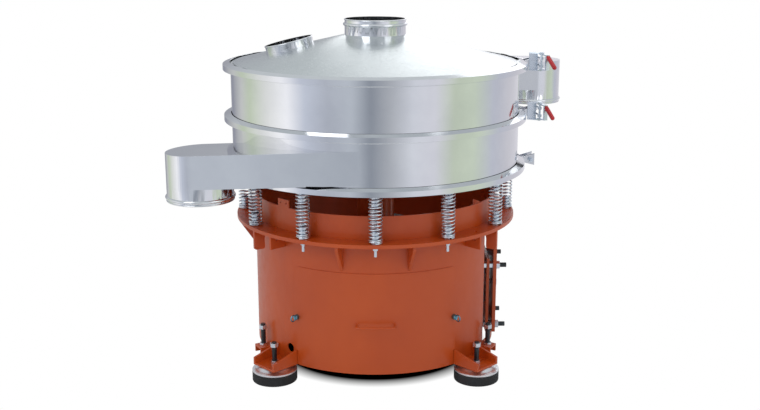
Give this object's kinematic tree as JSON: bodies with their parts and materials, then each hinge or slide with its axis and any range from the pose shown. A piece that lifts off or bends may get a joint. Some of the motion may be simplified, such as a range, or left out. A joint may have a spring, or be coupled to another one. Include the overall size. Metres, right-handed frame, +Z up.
{
  "type": "vibrating sieve",
  "caption": "Round vibrating sieve: a sprung stainless deck with domed lid, inlet and two side outlets, on an orange cylindrical base with belt drive and rubber feet",
  "frame": {"origin": "on the machine's vertical axis at floor level", "axes": "+Z up, -Y towards the front with the access door, +X to the right with the motor window"},
  "size_m": [1.6849, 1.2862, 1.422],
  "materials": {
    "orange_paint": "satin orange paint",
    "polished_steel": "mirror-polished stainless steel",
    "black_rubber": "matt moulded rubber",
    "bright_dish": "bright spun metal",
    "black_oxide": "black oxide",
    "zinc": "bright zinc plate",
    "blue_zinc": "blue zinc plate",
    "spring_wire": "zinc-plated spring wire",
    "ground_steel": "ground steel",
    "cast_iron": "machined cast iron",
    "motor_grey": "grey enamel on cast iron",
    "belt_rubber": "fabric-backed rubber",
    "seal_rubber": "pale food-grade silicone",
    "woven_steel": "woven stainless wire cloth",
    "red_grip": "dipped red plastic"
  },
  "bodies": {
    "base": {"access_door": "orange_paint", "base_flange": "orange_paint", "base_shell": "orange_paint", "clamping_nuts": "zinc", "clamping_studs": "black_oxide", "door_handle": "orange_paint", "drive_belts": "belt_rubber", "drive_motor": "motor_grey", "flange_gussets": "orange_paint", "flange_stub_plates": "orange_paint", "foot_brackets": "orange_paint", "foot_dishes": "bright_dish", "foot_pads": "black_rubber", "jack_bolt": "zinc", "lifting_lugs": "orange_paint", "lock_brackets": "orange_paint", "lock_tab": "orange_paint", "lower_spring_seats": "zinc", "motor_carrier": "orange_paint", "spring_fasteners": "zinc", "support_springs": "spring_wire", "tension_plate": "orange_paint"},
    "deck": {"table_frame": "orange_paint", "upper_spring_seats": "zinc", "spindle_housing": "orange_paint", "spindle_bearings": "ground_steel", "bottom_gasket": "seal_rubber", "dome_pan": "polished_steel", "lower_frame": "polished_steel", "lower_duct": "polished_steel", "lower_spout": "polished_steel", "screen_gasket": "seal_rubber", "screen_ring": "polished_steel", "screen_mesh": "woven_steel", "upper_frame": "polished_steel", "upper_duct": "polished_steel", "upper_spout": "polished_steel", "cover_gasket": "seal_rubber", "cover_cone": "polished_steel", "inlet_spout": "polished_steel", "inspection_port": "polished_steel", "top_band": "polished_steel", "middle_band": "polished_steel", "bottom_band": "polished_steel", "bottom_band_bolt": "zinc", "latch_brackets": "zinc"},
    "spindle": {"spindle_shaft": "ground_steel", "top_weight": "cast_iron", "bottom_weight": "cast_iron", "spindle_pulley": "cast_iron"},
    "motor_rotor": {"motor_shaft": "ground_steel", "motor_pulley": "cast_iron"},
    "left_eye_screw": {"eye_screw_left": "blue_zinc"},
    "right_eye_screw": {"eye_screw_right": "blue_zinc"},
    "top_latch_lever": {"top_grip": "red_grip", "top_lever": "zinc"},
    "top_latch_hook": {"top_hook": "zinc"},
    "middle_latch_lever": {"middle_grip": "red_grip", "middle_lever": "zinc"},
    "middle_latch_hook": {"middle_hook": "zinc"}
  },
  "joints": [
    {"name": "deck_bounce", "type": "slide", "parent": "base", "child": "deck", "axis": [0, 0, 1], "range_m": [-0.012, 0.012], "stiffness_N_per_m": 137000, "springref_m": 0.0209, "deforming": ["support_springs", "drive_belts"]},
    {"name": "spindle_spin", "type": "hinge", "parent": "deck", "child": "spindle", "pos_m": [0, 0, 0.467], "axis": [0, 0, 1], "continuous": true},
    {"name": "motor_spin", "type": "hinge", "parent": "base", "child": "motor_rotor", "pos_m": [0.374, 0, 0.467], "axis": [0, 0, 1], "continuous": true},
    {"name": "left_eye_screw_turn", "type": "hinge", "parent": "base", "child": "left_eye_screw", "pos_m": [-0.31412, -0.40937, 0.266], "axis": [-0.6088, -0.7934, 0], "continuous": true},
    {"name": "right_eye_screw_turn", "type": "hinge", "parent": "base", "child": "right_eye_screw", "pos_m": [0.31412, -0.40937, 0.266], "axis": [0.6088, -0.7934, 0], "continuous": true},
    {"name": "top_latch_open", "type": "hinge", "parent": "deck", "child": "top_latch_lever", "pos_m": [0.69386, 0.00549, 1.2425], "axis": [0, 0, 1], "range_deg": [0, 100]},
    {"name": "top_hook_swing", "type": "hinge", "parent": "top_latch_lever", "child": "top_latch_hook", "pos_m": [0.69313, -0.00849, 1.2425], "axis": [0, 0, 1], "range_deg": [-100, 0]},
    {"name": "middle_latch_open", "type": "hinge", "parent": "deck", "child": "middle_latch_lever", "pos_m": [0.69386, 0.00549, 1.0335], "axis": [0, 0, 1], "range_deg": [0, 100]},
    {"name": "middle_hook_swing", "type": "hinge", "parent": "middle_latch_lever", "child": "middle_latch_hook", "pos_m": [0.69313, -0.00849, 1.0335], "axis": [0, 0, 1], "range_deg": [-100, 0]}
  ],
  "couplings": [
    {"joint": "motor_spin", "follows": "spindle_spin", "ratio": 1},
    {"joint": "top_hook_swing", "follows": "top_latch_open", "ratio": -1},
    {"joint": "middle_hook_swing", "follows": "middle_latch_open", "ratio": -1}
  ]
}
